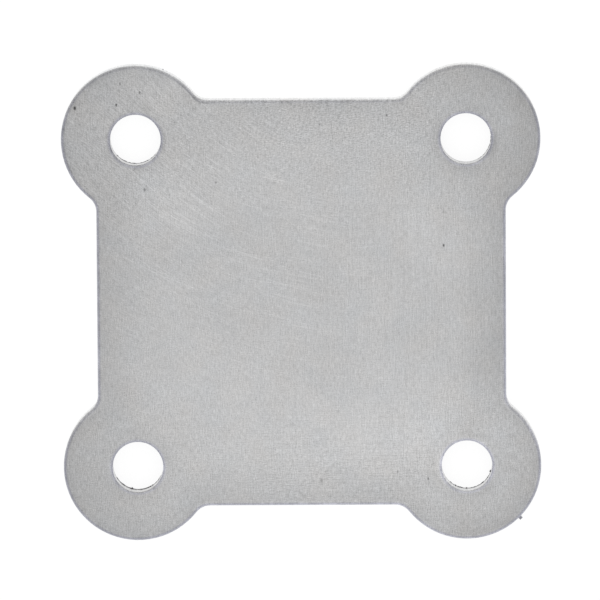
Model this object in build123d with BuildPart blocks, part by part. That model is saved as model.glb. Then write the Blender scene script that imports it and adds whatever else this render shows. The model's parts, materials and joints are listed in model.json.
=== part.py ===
"""Square cover plate with a round, drilled ear at each corner.

One piece of stainless steel sheet, laser cut and then sanded on its front face.
It lies flat: the origin is at the middle of its underside, and +Z comes out of
the sanded face. All sizes are in millimetres.
"""

import os
from math import isclose

from build123d import *

# Sheet
sheet_thickness = 3.2

# Bolt holes, one at each corner of a square
hole_spacing = 55.4
hole_diameter = 8.5

# Outline: ears round the holes, and straight sides between the ears
ear_rim = 8.25
side_margin = 6.65
inner_corner_radius = 3.0

# Sharp edges of the front face, rounded over by the sanding: most along the
# outline, and less round the holes, where the sanding pad bridged them
outline_edge_radius = 0.6
hole_edge_radius = 0.3

# Stub of the small tab that held the plate in its sheet while it was cut
stub_width = 0.55
stub_height = 0.45
stub_angle = -45.0

hole_radius = hole_diameter / 2
ear_radius = hole_radius + ear_rim
body_width = hole_spacing + 2 * side_margin
side = body_width / 2


def meets_side(corner):
    """True for a corner where the arc of an ear runs into a straight side."""
    return isclose(max(abs(corner.X), abs(corner.Y)), side, abs_tol=0.001)


def is_hole_edge(edge):
    """True for the edge of a bolt hole."""
    return edge.geom_type == GeomType.CIRCLE and isclose(edge.radius, hole_radius)


with BuildPart() as cover_plate:
    # The laser-cut blank
    with BuildSketch():
        Rectangle(body_width, body_width)
        with GridLocations(hole_spacing, hole_spacing, 2, 2):
            Circle(ear_radius)
        fillet(vertices().filter_by(meets_side), radius=inner_corner_radius)
        with GridLocations(hole_spacing, hole_spacing, 2, 2):
            Circle(hole_radius, mode=Mode.SUBTRACT)
    extrude(amount=sheet_thickness)

    # Rounded front edges, round the holes and then along the outline
    hole_edges = faces().sort_by(Axis.Z)[-1].edges().filter_by(is_hole_edge)
    fillet(hole_edges, radius=hole_edge_radius)
    outline_edges = faces().sort_by(Axis.Z)[-1].outer_wire().edges()
    fillet(outline_edges, radius=outline_edge_radius)

    # Tab stub, on the wall of the ear at +X -Y, up to where the rounding starts
    with BuildSketch():
        with Locations((hole_spacing / 2, -hole_spacing / 2)):
            with PolarLocations(ear_radius, 1, start_angle=stub_angle):
                Rectangle(2 * stub_height, stub_width)
    extrude(amount=sheet_thickness - outline_edge_radius)

cover_plate.part.label = "cover_plate"

os.makedirs("parts", exist_ok=True)
export_step(cover_plate.part, "parts/cover_plate.step")
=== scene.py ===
import json
from math import cos, radians, sin

import bpy
from mathutils import Euler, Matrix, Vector

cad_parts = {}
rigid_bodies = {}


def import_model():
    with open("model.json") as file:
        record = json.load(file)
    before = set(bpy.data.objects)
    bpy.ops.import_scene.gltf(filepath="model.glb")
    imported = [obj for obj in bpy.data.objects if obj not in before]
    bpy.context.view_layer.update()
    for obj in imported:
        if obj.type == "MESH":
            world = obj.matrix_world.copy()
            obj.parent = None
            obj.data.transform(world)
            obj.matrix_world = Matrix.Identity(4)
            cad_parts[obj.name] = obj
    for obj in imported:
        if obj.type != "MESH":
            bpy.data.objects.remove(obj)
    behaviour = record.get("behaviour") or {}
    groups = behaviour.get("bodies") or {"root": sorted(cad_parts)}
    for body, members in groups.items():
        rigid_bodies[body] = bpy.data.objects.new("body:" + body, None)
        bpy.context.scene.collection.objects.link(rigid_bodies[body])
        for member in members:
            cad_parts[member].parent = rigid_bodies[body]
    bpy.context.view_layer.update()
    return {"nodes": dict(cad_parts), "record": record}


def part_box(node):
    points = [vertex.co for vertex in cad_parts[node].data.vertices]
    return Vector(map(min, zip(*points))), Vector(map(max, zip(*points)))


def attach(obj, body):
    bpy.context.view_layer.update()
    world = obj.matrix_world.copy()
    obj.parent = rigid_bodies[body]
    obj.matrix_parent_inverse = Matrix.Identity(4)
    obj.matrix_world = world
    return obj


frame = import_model()

# ---------------------------------------------------------------------------
# Cover plate
# One piece of stainless steel sheet, laser cut to its outline and its four
# bolt holes. Its front face and front edges were then sanded by hand with an
# orbital sander; the cut walls and the underside were left as they came.
# ---------------------------------------------------------------------------
MM = 0.001
plate = frame["nodes"]["cover_plate"]
plate_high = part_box("cover_plate")[1]
bolt_holes = frame["record"]["mounts"][0]["dims"]
half_spacing = bolt_holes["spacing_x_mm"] / 2
hole_radius = bolt_holes["hole_r_mm"]
ear_radius = plate_high.x / MM - half_spacing
side_margin = 6.65  # from a hole's middle out to the straight side
half_body = half_spacing + side_margin


def linear(hex_colour):
    """An sRGB hex colour as the linear RGBA that Blender's sockets take."""
    channels = [int(hex_colour[i : i + 2], 16) / 255 for i in (1, 3, 5)]
    return [c / 12.92 if c <= 0.04045 else ((c + 0.055) / 1.055) ** 2.4 for c in channels] + [1.0]


def add_node(tree, kind, inputs, **settings):
    """Adds a node to a tree, with its settings, its values and its links.

    inputs holds a value, a node or a socket for each input, by number or name.
    A node stands for the first output that it has in use.
    """
    node = tree.nodes.new("ShaderNode" + kind)
    for name, value in settings.items():
        setattr(node, name, value)
    for socket, value in dict(inputs if isinstance(inputs, dict) else enumerate(inputs)).items():
        if isinstance(value, bpy.types.Node):
            value = next(output for output in value.outputs if output.enabled)
        if isinstance(value, bpy.types.NodeSocket):
            tree.links.new(value, node.inputs[socket])
        else:
            node.inputs[socket].default_value = value
    return node


# Stainless steel sheet, cold rolled, laser cut and orbitally sanded: a neutral
# satin grey with a woven grain, long pale swirl scratches and a few dark pits,
# and cut walls with upright laser striations. Light and shade are painted into
# its colour: shade along the outline and holes, highlights on the rounded edges
# and cut walls, and a faint blue reflection near the cut edges.
steel = bpy.data.materials.new("stainless_sheet_orbital_sanded")
steel.use_nodes = True
tree = steel.node_tree
tree.nodes.clear()

# Places on the plate in millimetres, as they are and flattened onto the face
object_place = add_node(tree, "TexCoord", {})
place = add_node(tree, "VectorMath", {0: object_place.outputs["Object"], "Scale": 1 / MM}, operation="SCALE")
axes = add_node(tree, "SeparateXYZ", [place])
flat_place = add_node(tree, "VectorMath", [place, (1.0, 1.0, 0.0)], operation="MULTIPLY")
facing = add_node(tree, "SeparateXYZ", [object_place.outputs["Normal"]])

# How far a place on the face is from the nearest edge, worked out in one
# quarter of the plate, because its four quarters are alike
quarter = add_node(tree, "VectorMath", [flat_place], operation="ABSOLUTE")
quarter_axes = add_node(tree, "SeparateXYZ", [quarter])
hole_center = (half_spacing, half_spacing, 0.0)
from_hole = add_node(tree, "VectorMath", [quarter, hole_center], operation="DISTANCE")
off_axis = add_node(tree, "Math", [quarter_axes.outputs["X"], quarter_axes.outputs["Y"]], operation="MAXIMUM")
in_body = add_node(tree, "Math", [half_body, off_axis], operation="SUBTRACT")
in_ear = add_node(tree, "Math", [ear_radius, from_hole], operation="SUBTRACT")
shoulder_blend = 2.0  # how softly the ear's distance runs into the body's
in_outline = add_node(tree, "Math", [in_body, in_ear, shoulder_blend], operation="SMOOTH_MAX")

# Painted shade: the face is darker in a soft band along the outline and round
# the holes, and toward the left and right sides
outline_band_width = 8.0
hole_band_width = 3.0
to_hole = add_node(tree, "Math", [from_hole, hole_radius], operation="SUBTRACT")
tone = add_node(tree, "MapRange", [in_outline, 0.0, outline_band_width, 0.89, 1.0])
hole_band = add_node(tree, "MapRange", [to_hole, 0.0, hole_band_width, 0.92, 1.0])
tone = add_node(tree, "Math", [tone, hole_band], operation="MULTIPLY")
side_band = add_node(
    tree, "MapRange", [quarter_axes.outputs["X"], 18.0, 40.0, 1.0, 0.89], interpolation_type="SMOOTHSTEP"
)
tone = add_node(tree, "Math", [tone, side_band], operation="MULTIPLY")

# Painted highlights on the rounded edges, uneven, stronger toward the lower
# right and where they face +Y, and weaker round the holes
to_edge = add_node(tree, "Math", [in_outline, to_hole], operation="MINIMUM")
on_edge = add_node(tree, "MapRange", [to_edge, 0.3, 0.9, 1.0, 0.0])
waver_width = 2.2
waver = add_node(tree, "TexNoise", {"Vector": flat_place, "Scale": 1 / waver_width, "Detail": 1.0})
waver = add_node(tree, "MapRange", [waver, 0.35, 0.65, 1.0, 1.17])
lower_right = add_node(tree, "Math", [axes.outputs["X"], axes.outputs["Y"]], operation="SUBTRACT")
edge_highlight = add_node(tree, "Math", [lower_right, 0.0016, waver], operation="MULTIPLY_ADD")
faces_top = add_node(tree, "MapRange", [facing.outputs["Y"], 0.1, 0.6])
edge_highlight = add_node(tree, "Math", [faces_top, 0.13, edge_highlight], operation="MULTIPLY_ADD")
near_hole = add_node(tree, "Math", [to_hole, in_outline], operation="LESS_THAN")
edge_highlight = add_node(tree, "Math", [near_hole, -0.07, edge_highlight], operation="MULTIPLY_ADD")
edge_tone = add_node(tree, "Mix", {0: on_edge, 2: 1.0, 3: edge_highlight}, data_type="FLOAT")
tone = add_node(tree, "Math", [tone, edge_tone], operation="MULTIPLY")

# Painted light round each hole: a highlight on its very lip, inside a thin ring
# of painted shade
lip_light_and_shade = add_node(tree, "MapRange", [to_hole, 0.05, 0.30, 1.18, 0.97])
lip_light_and_shade = add_node(tree, "MapRange", [to_hole, 0.30, 0.80, lip_light_and_shade, 1.0])
tone = add_node(tree, "Math", [tone, lip_light_and_shade], operation="MULTIPLY")

# The pad tipped over the ears and rounded them more widely; their wider rim is
# painted as shade, which ends where an ear runs into a straight side
ear_rim_shade = add_node(tree, "MapRange", [from_hole, ear_radius, ear_radius + 1.5, 0.93, 1.0])
ear_rim_shade = add_node(tree, "MapRange", [in_outline, 0.4, 1.6, ear_rim_shade, 1.0])
tone = add_node(tree, "Math", [tone, ear_rim_shade], operation="MULTIPLY")

# A knock on the right-hand shoulder of the upper left ear dented its rounded
# edge; the thin dark line along the inner side of that edge is painted shade
knock_place = (-18.0, 36.0, 0.0)
knock_shade = add_node(tree, "VectorMath", [flat_place, knock_place], operation="DISTANCE")
knock_shade = add_node(tree, "MapRange", [knock_shade, 1.5, 5.2, 1.0, 0.0], interpolation_type="SMOOTHSTEP")
line = add_node(tree, "Math", [waver, -0.35, 0.83], operation="MULTIPLY_ADD")
line = add_node(tree, "Math", [in_outline, line, 0.10], operation="COMPARE")
knock_shade = add_node(tree, "Math", [knock_shade, line], operation="MULTIPLY")
tone = add_node(tree, "Math", [knock_shade, -0.21, tone], operation="MULTIPLY_ADD")

# The tab stub stands outside the outline and lower than the face, so the sanding
# pad never reached it
on_stub = add_node(tree, "MapRange", [in_outline, -0.15, 0.0, 0.62, 1.0])
tone = add_node(tree, "Math", [tone, on_stub], operation="MULTIPLY")

# Soft patches of painted light and shade, where a slight bend of the sheet and
# the rounded edges catch the light brighter or duller: first the broad ones on
# the face, then the small ones along the edges. For each: its middle and its
# reach along X and Y in millimetres, and its share of brightness
for x, y, reach_x, reach_y, share in (
    (16.0, -23.0, 62.0, 18.0, 1.10),
    (-14.0, 6.0, 26.0, 15.0, 0.965),
    (3.0, 0.0, 5.0, 36.0, 0.98),
    (12.0, 24.0, 20.0, 8.0, 0.97),
    (-16.0, 26.0, 16.0, 10.0, 0.945),
    (-37.0, 31.0, 7.0, 11.0, 0.97),
    (-38.4, 31.2, 0.8, 1.5, 1.10),
    (-16.0, -11.0, 20.0, 9.0, 1.025),
    (-29.0, -13.0, 9.0, 9.0, 1.03),
    (-24.0, -24.0, 9.0, 9.0, 0.955),
    (25.0, 9.0, 13.0, 13.0, 1.05),
    (27.0, 25.0, 10.0, 8.0, 0.95),
    (31.0, 37.0, 12.0, 7.0, 0.925),
    (0.0, 34.0, 24.0, 2.5, 0.955),
    (36.0, -21.0, 9.0, 12.0, 1.06),
    (31.0, -30.0, 5.0, 12.0, 1.05),
    (38.0, 27.0, 6.0, 12.0, 0.95),
    (30.8, -30.9, 2.8, 2.8, 0.89),
    (28.0, -32.3, 3.2, 1.4, 0.93),
    (32.0, 27.2, 1.5, 3.4, 0.80),
    (-23.4, 27.4, 1.2, 3.2, 0.90),
    (-20.4, 37.7, 3.0, 3.0, 1.10),
    (18.6, 35.9, 2.6, 2.6, 1.10),
    (-16.0, 33.9, 2.5, 2.0, 1.08),
    (-34.0, 16.7, 2.2, 3.2, 1.09),
    (-34.1, -16.4, 2.2, 3.2, 1.09),
    (-27.6, 34.2, 5.5, 2.5, 0.955),
    (27.7, 22.9, 4.0, 1.2, 0.95),
    (-32.0, -27.0, 1.5, 4.5, 1.11),
    (-27.7, -23.4, 4.5, 1.3, 1.08),
    (23.3, -27.0, 1.5, 4.8, 1.12),
    (26.4, -23.3, 3.8, 1.3, 1.10),
    (-27.0, 39.8, 7.0, 1.4, 1.07),
    (0.3, 33.9, 4.0, 1.2, 0.94),
    (36.8, 34.6, 2.0, 3.2, 0.94),
    (39.9, -27.5, 1.2, 3.2, 0.93),
    (34.4, -37.8, 2.2, 1.4, 0.95),
    (23.0, -38.4, 3.0, 1.8, 1.07),
):
    painted_light_patch = add_node(tree, "VectorMath", [flat_place, (x, y, 0.0)], operation="SUBTRACT")
    painted_light_patch = add_node(tree, "VectorMath", [painted_light_patch, (1 / reach_x, 1 / reach_y, 0.0)], operation="MULTIPLY")
    painted_light_patch = add_node(tree, "VectorMath", [painted_light_patch], operation="LENGTH")
    painted_light_patch = add_node(tree, "MapRange", [painted_light_patch, 0.0, 1.0, share, 1.0], interpolation_type="SMOOTHSTEP")
    tone = add_node(tree, "Math", [tone, painted_light_patch], operation="MULTIPLY")

# Cloudiness, as the sanding is never quite even
cloud_width = 9.0
clouds = add_node(tree, "TexNoise", {"Vector": flat_place, "Scale": 1 / cloud_width, "Detail": 3.0})
clouds = add_node(tree, "MapRange", [clouds, 0.3, 0.7, 0.97, 1.03])
tone = add_node(tree, "Math", [tone, clouds], operation="MULTIPLY")

# Grain: grit marks that are finer on the real plate, and are drawn as coarse as
# they show. For each layer: the cells per millimetre along X and Y before it is
# turned, the turn in degrees, its weight, and where it is strongest, as the
# middle and the reach of a soft round zone in millimetres
grain = 0.0
for cells_x, cells_y, turn_degrees, weight, zone_x, zone_y, reach in (
    (6.0, 6.0, 15.0, 1.9, 0.0, 0.0, 500.0),
    (0.9, 5.5, -90.0, 1.5, 0.0, 0.0, 500.0),
    (1.1, 5.5, 0.0, 0.9, 0.0, 0.0, 500.0),
    (0.12, 4.5, -90.0, 0.8, 20.0, 0.0, 56.0),
    (0.12, 4.5, 0.0, 0.8, 6.0, -32.0, 40.0),
    (2.0, 6.0, 10.0, 3.2, 4.0, 38.0, 36.0),
    (1.4, 6.0, 0.0, 1.8, 2.0, -36.0, 30.0),
    (0.6, 5.0, -38.0, 1.35, -32.0, 26.0, 46.0),
    (0.9, 5.0, -62.0, 0.7, -10.0, -8.0, 36.0),
    (0.05, 0.5, -90.0, 0.2, 26.0, 0.0, 42.0),
):
    turned = add_node(
        tree,
        "VectorRotate",
        {"Vector": flat_place, "Axis": (0.0, 0.0, 1.0), "Angle": radians(-turn_degrees)},
    )
    stretched = add_node(tree, "VectorMath", [turned, (cells_x, cells_y, 1.0)], operation="MULTIPLY")
    strokes = add_node(tree, "TexNoise", {"Vector": stretched, "Scale": 1.0, "Detail": 1.0})
    zone = add_node(tree, "VectorMath", [flat_place, (zone_x, zone_y, 0.0)], operation="DISTANCE")
    zone = add_node(tree, "MapRange", [zone, 0.0, reach, weight, 0.0], interpolation_type="SMOOTHSTEP")
    strokes = add_node(tree, "Math", [strokes, 0.5], operation="SUBTRACT")
    grain = add_node(tree, "Math", [strokes, zone, grain], operation="MULTIPLY_ADD")

# The grain is coarser to the eye on the ears, where the sander tipped, and a
# little toward the outline
ear_gain = add_node(tree, "MapRange", [from_hole, 8.0, 18.0, 1.26, 1.0], interpolation_type="SMOOTHSTEP")
grain = add_node(tree, "Math", [grain, ear_gain], operation="MULTIPLY")
outline_gain = add_node(tree, "MapRange", [in_outline, 3.0, 15.0, 1.1, 1.0], interpolation_type="SMOOTHSTEP")
grain = add_node(tree, "Math", [grain, outline_gain], operation="MULTIPLY")

# Swirls: thin pale arcs that the sander left while it swung about a far centre.
# For each family: the centre, an arc's width and length in millimetres, the
# noise level from which an arc shows, and a seed
swirls = 0.0
swing_reach = 60.0  # about how far the arcs lie from their centre
for center_x, center_y, width, length, level, seed in (
    (11.0, 64.0, 0.17, 11.0, 0.64, 1.0),
    (15.0, 60.0, 0.19, 24.0, 0.66, 7.0),
    (5.0, 70.0, 0.17, 16.0, 0.66, 13.0),
):
    swing = add_node(tree, "VectorMath", [flat_place, (center_x, center_y, 0.0)], operation="SUBTRACT")
    swing_axes = add_node(tree, "SeparateXYZ", [swing])
    swing_angle = add_node(
        tree, "Math", [swing_axes.outputs["Y"], swing_axes.outputs["X"]], operation="ARCTAN2"
    )
    swing_radius = add_node(tree, "VectorMath", [swing], operation="LENGTH")
    across = add_node(tree, "Math", [swing_radius, 1 / width], operation="MULTIPLY")
    along = add_node(tree, "Math", [swing_angle, swing_reach / length], operation="MULTIPLY")
    arc_place = add_node(tree, "CombineXYZ", [across, along, seed])
    arcs = add_node(tree, "TexNoise", {"Vector": arc_place, "Scale": 1.0, "Detail": 0.0})
    arcs = add_node(tree, "MapRange", [arcs, level, level + 0.14])
    swirls = add_node(tree, "Math", [swirls, arcs], operation="ADD")
swirl_zone = add_node(tree, "VectorMath", [flat_place, (-15.0, 15.0, 0.0)], operation="DISTANCE")
swirl_zone = add_node(tree, "MapRange", [swirl_zone, 8.0, 44.0, 1.0, 0.0], interpolation_type="SMOOTHSTEP")
swirls = add_node(tree, "Math", [swirls, swirl_zone], operation="MULTIPLY")

# Pits: the place and width of each in millimetres, and how dark it is
pits = 0.0
for x, y, width, darkness in (
    (-37.8, 33.15, 0.40, 1.0),
    (-30.85, 33.65, 0.28, 0.9),
    (-26.9, 35.7, 0.24, 0.7),
    (-30.2, 37.2, 0.28, 0.5),
    (-26.2, 19.3, 0.34, 0.6),
    (-14.25, 20.5, 0.26, 0.5),
    (14.45, 31.7, 0.28, 0.6),
    (3.2, 30.2, 0.22, 0.4),
    (23.9, 9.7, 0.30, 0.85),
    (23.9, 15.3, 0.44, 0.22),
    (3.2, -30.1, 0.44, 0.33),
    (21.15, -29.9, 0.28, 0.55),
    (16.0, -28.65, 0.28, 0.4),
):
    pit = add_node(tree, "VectorMath", [flat_place, (x, y, 0.0)], operation="SUBTRACT")
    pit = add_node(tree, "VectorMath", [pit, (1.0, 0.6, 0.0)], operation="MULTIPLY")
    pit = add_node(tree, "VectorMath", [pit], operation="LENGTH")
    pit = add_node(tree, "MapRange", [pit, width * 0.2, width * 0.7, darkness, 0.0])
    pits = add_node(tree, "Math", [pits, pit], operation="MAXIMUM")

# Tone of the sanded face, as a share of the steel's own colour
grain_contrast = 0.34
swirl_contrast = 0.11
pit_contrast = 0.85
grain_tone = add_node(tree, "Math", [grain, grain_contrast, 1.0], operation="MULTIPLY_ADD")
tone = add_node(tree, "Math", [tone, grain_tone], operation="MULTIPLY")
tone = add_node(tree, "Math", [swirls, swirl_contrast, tone], operation="MULTIPLY_ADD")
pit_tone = add_node(tree, "Math", [pits, -pit_contrast, 1.0], operation="MULTIPLY_ADD")
tone = add_node(tree, "Math", [tone, pit_tone], operation="MULTIPLY")

# Cut walls: upright striations. Their colour is painted brighter outside, as a
# reflection of the white floor, and darker in the holes with painted shade, most
# of all in the upper right one and toward the foot of each
striation_width = 0.25
striation_length = 4.0
striation_cells = (1 / striation_width, 1 / striation_width, 1 / striation_length)
striation_place = add_node(tree, "VectorMath", [place, striation_cells], operation="MULTIPLY")
striations = add_node(tree, "TexNoise", {"Vector": striation_place, "Scale": 1.0, "Detail": 2.0})
striation_tone = add_node(tree, "MapRange", [striations, 0.3, 0.7, 0.86, 1.14])
foot_shade = add_node(tree, "MapRange", [axes.outputs["Z"], 0.6, 1.4, 0.8, 1.18])
in_hole = add_node(tree, "Math", [from_hole, hole_radius + 1.0], operation="LESS_THAN")
wall_tone = add_node(tree, "Mix", {0: in_hole, 2: 1.45, 3: foot_shade}, data_type="FLOAT")
wall_tone = add_node(tree, "Math", [wall_tone, striation_tone], operation="MULTIPLY")
hole_shade = add_node(tree, "VectorMath", [flat_place, hole_center], operation="DISTANCE")
hole_shade = add_node(tree, "MapRange", [hole_shade, hole_radius + 1.0, hole_radius + 2.0, 0.95, 1.0])
wall_tone = add_node(tree, "Math", [wall_tone, hole_shade], operation="MULTIPLY")
on_wall = add_node(tree, "MapRange", [facing.outputs["Z"], 0.0, 0.2, 1.0, 0.0])
tone = add_node(tree, "Mix", {0: on_wall, 2: tone, 3: wall_tone}, data_type="FLOAT")

# Underside: the mill's own finish, smoother than the sanded face, with faint
# rolling lines along X
rolling_length = 12.5
rolling_width = 0.2
rolling_cells = (1 / rolling_length, 1 / rolling_width, 1.0)
rolling_place = add_node(tree, "VectorMath", [place, rolling_cells], operation="MULTIPLY")
rolling = add_node(tree, "TexNoise", {"Vector": rolling_place, "Scale": 1.0, "Detail": 2.0})
back_tone = add_node(tree, "MapRange", [rolling, 0.3, 0.7, 0.90, 0.98])
back_tone = add_node(tree, "Math", [back_tone, clouds], operation="MULTIPLY")
on_back = add_node(tree, "MapRange", [facing.outputs["Z"], -0.9, -0.5, 1.0, 0.0])
tone = add_node(tree, "Mix", {0: on_back, 2: tone, 3: back_tone}, data_type="FLOAT")

# The bare steel is very faintly mottled, warm and cool. A faint blue painted
# reflection lies within a millimetre of the cut edges, least where they face +Y
blue_edge_reflection = add_node(tree, "MapRange", [to_edge, 0.1, 0.7, 0.75, 0.0], interpolation_type="SMOOTHSTEP")
off_wall = add_node(tree, "MapRange", [facing.outputs["Z"], 0.1, 0.5])
blue_edge_reflection = add_node(tree, "Math", [blue_edge_reflection, off_wall], operation="MULTIPLY")
off_top = add_node(tree, "Math", [1.0, faces_top], operation="SUBTRACT")
blue_edge_reflection = add_node(tree, "Math", [blue_edge_reflection, off_top], operation="MULTIPLY")
mottle_width = 6.0
mottle = add_node(tree, "TexNoise", {"Vector": flat_place, "Scale": 1 / mottle_width, "Detail": 2.0})
bare = add_node(tree, "Mix", {0: mottle, "A": linear("#C9C7C5"), "B": linear("#C5C7C9")}, data_type="RGBA")
colour = add_node(
    tree, "Mix", {0: blue_edge_reflection, "A": bare.outputs["Result"], "B": linear("#BFC0CC")}, data_type="RGBA"
)
colour = add_node(tree, "VectorMath", {0: colour.outputs["Result"], "Scale": tone}, operation="SCALE")

# Relief: how high or deep each mark is, in millimetres
grain_height = 0.004
swirl_height = 0.002
pit_depth = 0.05
striation_height = 0.03
rolling_height = 0.002
relief = add_node(tree, "Math", [grain, grain_height], operation="MULTIPLY")
relief = add_node(tree, "Math", [swirls, swirl_height, relief], operation="MULTIPLY_ADD")
relief = add_node(tree, "Math", [pits, -pit_depth, relief], operation="MULTIPLY_ADD")
wall_relief = add_node(tree, "Math", [striations, striation_height], operation="MULTIPLY")
relief = add_node(tree, "Mix", {0: on_wall, 2: relief, 3: wall_relief}, data_type="FLOAT")
back_relief = add_node(tree, "Math", [rolling, rolling_height], operation="MULTIPLY")
relief = add_node(tree, "Mix", {0: on_back, 2: relief, 3: back_relief}, data_type="FLOAT")
bump = add_node(tree, "Bump", {"Height": relief, "Distance": MM})

# Roughness: satin on the sanded face, and smoother on the cut walls and the back
face_roughness = 0.44
wall_roughness = 0.30
back_roughness = 0.36
roughness = add_node(tree, "Math", [grain, 0.06, face_roughness], operation="MULTIPLY_ADD")
roughness = add_node(tree, "Mix", {0: on_wall, 2: roughness, 3: wall_roughness}, data_type="FLOAT")
roughness = add_node(tree, "Mix", {0: on_back, 2: roughness, 3: back_roughness}, data_type="FLOAT")

surface = add_node(
    tree,
    "BsdfPrincipled",
    {"Base Color": colour, "Metallic": 1.0, "Roughness": roughness, "Normal": bump},
)
add_node(tree, "OutputMaterial", {"Surface": surface})
plate.material_slots[0].material = steel

# ---------------------------------------------------------------------------
# Burrs
# Beads of steel that the laser melted and the gas jet didn't blow clear. They
# hang along the back edges of the holes and of the top of one ear, dark with
# oxide, because nobody filed them off.
# ---------------------------------------------------------------------------
bpy.ops.object.select_all(action="DESELECT")
burr_height = 0.28
ridge_sides = 10
ridge_steps = 80
# Ridges: the hole they run round, the first and last angle in degrees, the
# radius they run on, and their own radius, in millimetres
for side_x, side_y, first, last, ridge_run, ridge_radius in (
    (-1, -1, -150.0, -112.0, hole_radius, 0.09),
    (-1, -1, -112.0, -60.0, hole_radius, 0.12),
    (-1, -1, -70.0, -26.0, hole_radius, 0.08),
    (-1, 1, -138.0, -38.0, hole_radius, 0.055),
    (1, -1, -131.0, -96.0, hole_radius, 0.06),
    (1, -1, -96.0, -70.0, hole_radius, 0.05),
    (1, -1, -70.0, -24.0, hole_radius, 0.075),
    (1, 1, -62.0, -24.0, hole_radius + 0.02, 0.05),
    (1, 1, -24.0, 16.0, hole_radius, 0.07),
):
    pivot = Vector((side_x * half_spacing, side_y * half_spacing, burr_height)) * MM
    start = Vector((cos(radians(first)), sin(radians(first)), 0.0)) * ridge_run * MM
    bpy.ops.mesh.primitive_circle_add(
        vertices=ridge_sides,
        radius=ridge_radius * MM,
        fill_type="NGON",
        location=pivot + start,
        rotation=(radians(90.0), 0.0, radians(first)),
    )
    bpy.ops.object.mode_set(mode="EDIT")
    bpy.ops.mesh.select_all(action="SELECT")
    bpy.ops.mesh.spin(steps=ridge_steps, angle=radians(first - last), center=pivot, axis=(0.0, 0.0, 1.0))
    bpy.ops.object.mode_set(mode="OBJECT")
    ridge = bpy.context.object
    ridge.name = "ridge"
burrs = ridge
burrs.name = "burrs"
# Beads: the hole, the angle, the radius from its middle and the bead's radius
for side_x, side_y, angle, bead_run, bead_radius in (
    (-1, -1, -105.0, hole_radius - 0.14, 0.14),
    (1, -1, -131.0, hole_radius - 0.02, 0.10),
    (1, -1, -117.0, hole_radius - 0.03, 0.11),
    (1, -1, -106.0, hole_radius - 0.03, 0.11),
    (1, -1, -91.0, hole_radius - 0.05, 0.12),
    (1, -1, -54.0, hole_radius - 0.02, 0.10),
    (1, -1, -35.0, hole_radius - 0.02, 0.10),
    (1, -1, -19.5, hole_radius - 0.04, 0.16),
    (1, -1, -17.5, hole_radius - 0.04, 0.14),
    (-1, 1, 68.0, ear_radius - 0.10, 0.16),
    (-1, 1, 71.5, ear_radius - 0.08, 0.12),
    (-1, 1, 65.0, ear_radius - 0.08, 0.11),
):
    middle = Vector((side_x * half_spacing, side_y * half_spacing, burr_height))
    middle += Vector((cos(radians(angle)), sin(radians(angle)), 0.0)) * bead_run
    bpy.ops.mesh.primitive_ico_sphere_add(subdivisions=3, radius=bead_radius * MM, location=middle * MM)
    bpy.context.object.name = "bead"
for piece in bpy.data.objects:
    piece.select_set(piece.name.split(".")[0] in ("burrs", "ridge", "bead"))
bpy.context.view_layer.objects.active = burrs
bpy.ops.object.join()
bpy.ops.object.transform_apply(location=True, rotation=True, scale=True)
burrs.data.name = "burrs"
# Lumps, so that no ridge or bead is regular
lump_width = 0.45
lump_height = 0.18
lumps = bpy.data.textures.new("lumps", "CLOUDS")
lumps.noise_scale = lump_width * MM
displace = burrs.modifiers.new("lumps", "DISPLACE")
displace.texture = lumps
displace.strength = lump_height * MM
bpy.ops.object.modifier_apply(modifier="lumps")
bpy.ops.object.mode_set(mode="EDIT")
bpy.ops.mesh.select_all(action="SELECT")
bpy.ops.mesh.remove_doubles(threshold=0.001 * MM)
bpy.ops.mesh.normals_make_consistent(inside=False)
bpy.ops.object.mode_set(mode="OBJECT")
bpy.ops.object.shade_smooth()

# Stainless steel that melted and set again under a thin oxide skin: dull grey,
# patchy from dark to mid grey, with no grain
crust_width = 0.2
dross = bpy.data.materials.new("stainless_dross_oxidised")
dross.use_nodes = True
tree = dross.node_tree
tree.nodes.clear()
bead_place = add_node(tree, "TexCoord", {})
crust_cells = 1 / (crust_width * MM)
crust = add_node(
    tree, "TexNoise", {"Vector": bead_place.outputs["Object"], "Scale": crust_cells, "Detail": 2.0}
)
bead_colour = add_node(
    tree, "Mix", {0: crust, "A": linear("#5C5B5E"), "B": linear("#9C9B9D")}, data_type="RGBA"
)
bead_surface = add_node(
    tree, "BsdfPrincipled", {"Base Color": bead_colour.outputs["Result"], "Metallic": 0.8, "Roughness": 0.55}
)
add_node(tree, "OutputMaterial", {"Surface": bead_surface})
burrs.data.materials.append(dross)
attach(burrs, "root")

# ---------------------------------------------------------------------------
# Floor
# A wide sheet of matt white paper that the plate lies on. It shows as plain
# white, to the camera and in the steel, and keeps only the plate's soft shadow.
# ---------------------------------------------------------------------------
bpy.ops.object.select_all(action="DESELECT")
bpy.ops.mesh.primitive_plane_add(size=40.0)
floor = bpy.context.object
floor.name = "floor"
paper = bpy.data.materials.new("white_paper_sweep")
paper.use_nodes = True
tree = paper.node_tree
tree.nodes.clear()
sight = add_node(tree, "LightPath", {})
seen = add_node(
    tree, "Math", [sight.outputs["Is Camera Ray"], sight.outputs["Is Glossy Ray"]], operation="MAXIMUM"
)
glow_strength = 0.87  # with the light that it catches, the paper just reaches white
glow = add_node(tree, "Emission", {"Color": linear("#FFFFFF"), "Strength": glow_strength})
shaded = add_node(tree, "BsdfDiffuse", {"Color": linear("#808080")})
lit = add_node(tree, "AddShader", [glow, shaded])
matt = add_node(tree, "BsdfDiffuse", {"Color": linear("#F2F2F2")})
paper_surface = add_node(tree, "MixShader", [seen, matt, lit])
add_node(tree, "OutputMaterial", {"Surface": paper_surface})
floor.data.materials.append(paper)

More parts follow.
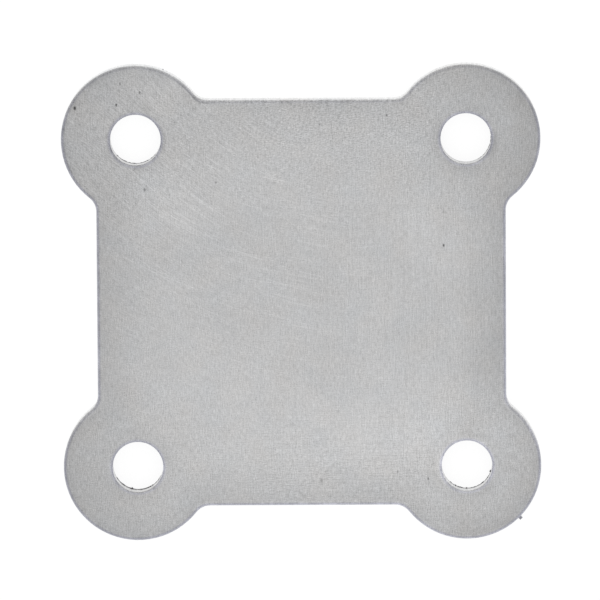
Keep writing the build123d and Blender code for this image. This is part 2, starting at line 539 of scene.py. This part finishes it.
# ---------------------------------------------------------------------------
# Light
# A pale room all round, a little brighter and bluer on its -Y side, and one
# large softbox overhead: plain soft studio light, with no hard shadow.
# ---------------------------------------------------------------------------
world = bpy.data.worlds.new("studio")
bpy.context.scene.world = world
world.use_nodes = True
tree = world.node_tree
tree.nodes.clear()
sight = add_node(tree, "LightPath", {})
direction = add_node(tree, "SeparateXYZ", [add_node(tree, "TexCoord", {}).outputs["Generated"]])
frontness = add_node(tree, "MapRange", [direction.outputs["Y"], -0.8, 0.8], interpolation_type="SMOOTHSTEP")
ring = add_node(
    tree, "Mix", {0: frontness, "A": linear("#E4E4EC"), "B": linear("#C4C4C8")}, data_type="RGBA"
)
height = add_node(tree, "MapRange", [direction.outputs["Z"], 0.0, 0.9], interpolation_type="SMOOTHSTEP")
room_colour = add_node(
    tree, "Mix", {0: height, "A": ring.outputs["Result"], "B": linear("#DCDCDC")}, data_type="RGBA"
)
room = add_node(tree, "Background", {"Color": room_colour.outputs["Result"], "Strength": 1.0})
white = add_node(tree, "Background", {"Color": linear("#FFFFFF"), "Strength": 1.0})
studio = add_node(tree, "MixShader", [sight.outputs["Is Camera Ray"], room, white])
add_node(tree, "OutputWorld", {"Surface": studio})

softbox_light = bpy.data.lights.new("softbox", "AREA")
softbox_light.shape = "RECTANGLE"
softbox_light.size = 0.8
softbox_light.size_y = 1.3
softbox_light.energy = 1.1
softbox = bpy.data.objects.new("softbox", softbox_light)
softbox.location = (0.0, -0.25, 1.1)
softbox.rotation_euler = (radians(-12.0), 0.0, 0.0)
softbox.visible_camera = False
bpy.context.scene.collection.objects.link(softbox)

# ---------------------------------------------------------------------------
# Camera
# Far above the plate with a long lens, and leaning 7.5 degrees toward +Y, so that
# the walls on the -Y side of the holes just show.
# ---------------------------------------------------------------------------
view_distance = 1.5755
view_width = 0.10076
aim = Vector((-0.00025, 0.00056, plate_high.z))
turn = Euler((radians(-7.54), radians(0.52), radians(-0.34)))
camera_data = bpy.data.cameras.new("camera")
camera_data.lens = camera_data.sensor_width * view_distance / view_width
camera = bpy.data.objects.new("camera", camera_data)
camera.rotation_euler = turn
camera.location = aim + turn.to_matrix() @ Vector((0.0, 0.0, view_distance))
bpy.context.scene.collection.objects.link(camera)
bpy.context.scene.camera = camera
bpy.context.scene.view_settings.view_transform = "Standard"
